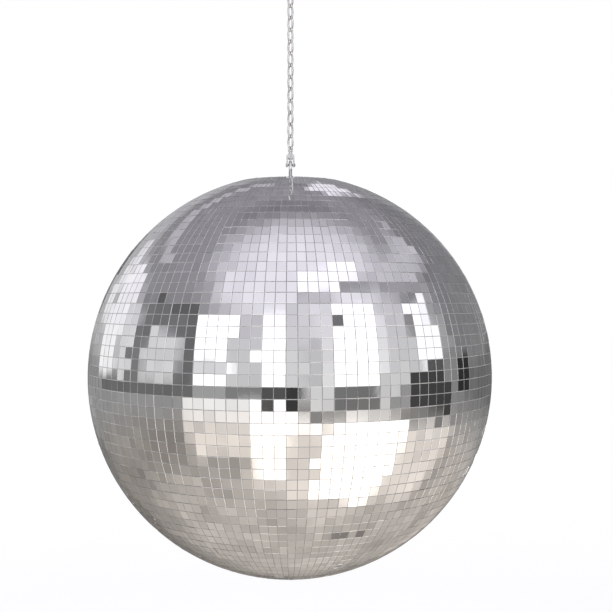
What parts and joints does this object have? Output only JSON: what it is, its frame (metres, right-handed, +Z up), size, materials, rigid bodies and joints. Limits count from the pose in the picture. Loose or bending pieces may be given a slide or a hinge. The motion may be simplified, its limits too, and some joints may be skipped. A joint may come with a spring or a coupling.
{
  "type": "mirror ball",
  "caption": "Round mirror ball covered in small square mirror facets, with an eye nut at its pole, an eye-and-jaw swivel and a short-link chain to hang it from.",
  "frame": {"origin": "seat inside the top chain link, under its upper bend, where a hook, shackle or motor pin bears", "axes": "+Z up along the hanging axis; -Y towards the front that the picture shows; +X to the viewer's right; the ball's centre is straight below the origin"},
  "size_m": [0.3998, 0.3998, 0.6251],
  "materials": {
    "mirror_glass": "polished",
    "pale_backing": "matte",
    "core_plastic": "satin",
    "cap_metal": "satin",
    "zinc_steel": "satin",
    "tube_aluminium": "satin",
    "bright_steel": "gloss",
    "swivel_steel": "satin",
    "chain_steel": "gloss"
  },
  "bodies": {
    "link_01": {"link_01": "chain_steel"},
    "link_02": {"link_02": "chain_steel"},
    "link_03": {"link_03": "chain_steel"},
    "link_04": {"link_04": "chain_steel"},
    "link_05": {"link_05": "chain_steel"},
    "link_06": {"link_06": "chain_steel"},
    "link_07": {"link_07": "chain_steel"},
    "link_08": {"link_08": "chain_steel"},
    "link_09": {"link_09": "chain_steel"},
    "link_10": {"link_10": "chain_steel"},
    "link_11": {"link_11": "chain_steel"},
    "link_12": {"link_12": "chain_steel"},
    "link_13": {"link_13": "chain_steel"},
    "link_14": {"link_14": "chain_steel"},
    "link_15": {"link_15": "chain_steel"},
    "link_16": {"link_16": "chain_steel"},
    "swivel_eye": {"swivel_eye": "bright_steel"},
    "yoke": {"yoke": "swivel_steel", "yoke_pin": "zinc_steel", "pin_clip": "zinc_steel"},
    "ball": {"core_upper_half": "core_plastic", "core_lower_half": "core_plastic", "core_joint_ring": "core_plastic", "upper_backing": "pale_backing", "lower_backing": "pale_backing", "equator_mirror_row": "mirror_glass", "upper_mirror_band_1": "mirror_glass", "upper_mirror_band_2": "mirror_glass", "upper_mirror_band_3": "mirror_glass", "upper_mirror_band_4": "mirror_glass", "lower_mirror_band_1": "mirror_glass", "lower_mirror_band_2": "mirror_glass", "lower_mirror_band_3": "mirror_glass", "lower_mirror_band_4": "mirror_glass", "top_cap": "cap_metal", "bottom_cap": "cap_metal", "top_cap_screws": "zinc_steel", "bottom_cap_screws": "zinc_steel", "tie_rod": "zinc_steel", "spacer_tube": "tube_aluminium", "top_spreader": "zinc_steel", "bottom_spreader": "zinc_steel", "top_washer": "zinc_steel", "bottom_washer": "zinc_steel", "lock_nut": "zinc_steel", "eye_nut": "bright_steel"}
  },
  "joints": [
    {"name": "link_02_hinge", "type": "hinge", "parent": "link_01", "child": "link_02", "pos_m": [0, 0, -0.013], "axis": [0.7071, 0.7071, 0], "range_deg": [-45, 45]},
    {"name": "link_03_hinge", "type": "hinge", "parent": "link_02", "child": "link_03", "pos_m": [0, 0, -0.02495], "axis": [-0.7071, 0.7071, 0], "range_deg": [-45, 45]},
    {"name": "link_04_hinge", "type": "hinge", "parent": "link_03", "child": "link_04", "pos_m": [0, 0, -0.0369], "axis": [-0.7071, -0.7071, 0], "range_deg": [-45, 45]},
    {"name": "link_05_hinge", "type": "hinge", "parent": "link_04", "child": "link_05", "pos_m": [0, 0, -0.04885], "axis": [0.7071, -0.7071, 0], "range_deg": [-45, 45]},
    {"name": "link_06_hinge", "type": "hinge", "parent": "link_05", "child": "link_06", "pos_m": [0, 0, -0.0608], "axis": [0.7071, 0.7071, 0], "range_deg": [-45, 45]},
    {"name": "link_07_hinge", "type": "hinge", "parent": "link_06", "child": "link_07", "pos_m": [0, 0, -0.07275], "axis": [-0.7071, 0.7071, 0], "range_deg": [-45, 45]},
    {"name": "link_08_hinge", "type": "hinge", "parent": "link_07", "child": "link_08", "pos_m": [0, 0, -0.0847], "axis": [-0.7071, -0.7071, 0], "range_deg": [-45, 45]},
    {"name": "link_09_hinge", "type": "hinge", "parent": "link_08", "child": "link_09", "pos_m": [0, 0, -0.09665], "axis": [0.7071, -0.7071, 0], "range_deg": [-45, 45]},
    {"name": "link_10_hinge", "type": "hinge", "parent": "link_09", "child": "link_10", "pos_m": [0, 0, -0.1086], "axis": [0.7071, 0.7071, 0], "range_deg": [-45, 45]},
    {"name": "link_11_hinge", "type": "hinge", "parent": "link_10", "child": "link_11", "pos_m": [0, 0, -0.12055], "axis": [-0.7071, 0.7071, 0], "range_deg": [-45, 45]},
    {"name": "link_12_hinge", "type": "hinge", "parent": "link_11", "child": "link_12", "pos_m": [0, 0, -0.1325], "axis": [-0.7071, -0.7071, 0], "range_deg": [-45, 45]},
    {"name": "link_13_hinge", "type": "hinge", "parent": "link_12", "child": "link_13", "pos_m": [0, 0, -0.14445], "axis": [0.7071, -0.7071, 0], "range_deg": [-45, 45]},
    {"name": "link_14_hinge", "type": "hinge", "parent": "link_13", "child": "link_14", "pos_m": [0, 0, -0.1564], "axis": [0.7071, 0.7071, 0], "range_deg": [-45, 45]},
    {"name": "link_15_hinge", "type": "hinge", "parent": "link_14", "child": "link_15", "pos_m": [0, 0, -0.16835], "axis": [-0.7071, 0.7071, 0], "range_deg": [-45, 45]},
    {"name": "link_16_hinge", "type": "hinge", "parent": "link_15", "child": "link_16", "pos_m": [0, 0, -0.1803], "axis": [-0.7071, -0.7071, 0], "range_deg": [-45, 45]},
    {"name": "swivel_eye_hinge", "type": "hinge", "parent": "link_16", "child": "swivel_eye", "pos_m": [0, 0, -0.19225], "axis": [0.7071, -0.7071, 0], "range_deg": [-45, 45]},
    {"name": "swivel_spin", "type": "hinge", "parent": "swivel_eye", "child": "yoke", "pos_m": [0, 0, -0.19725], "axis": [0, 0, 1], "continuous": true},
    {"name": "ball_sway", "type": "hinge", "parent": "yoke", "child": "ball", "pos_m": [0, 0, -0.20835], "axis": [1, 0, 0], "range_deg": [-30, 30]}
  ]
}
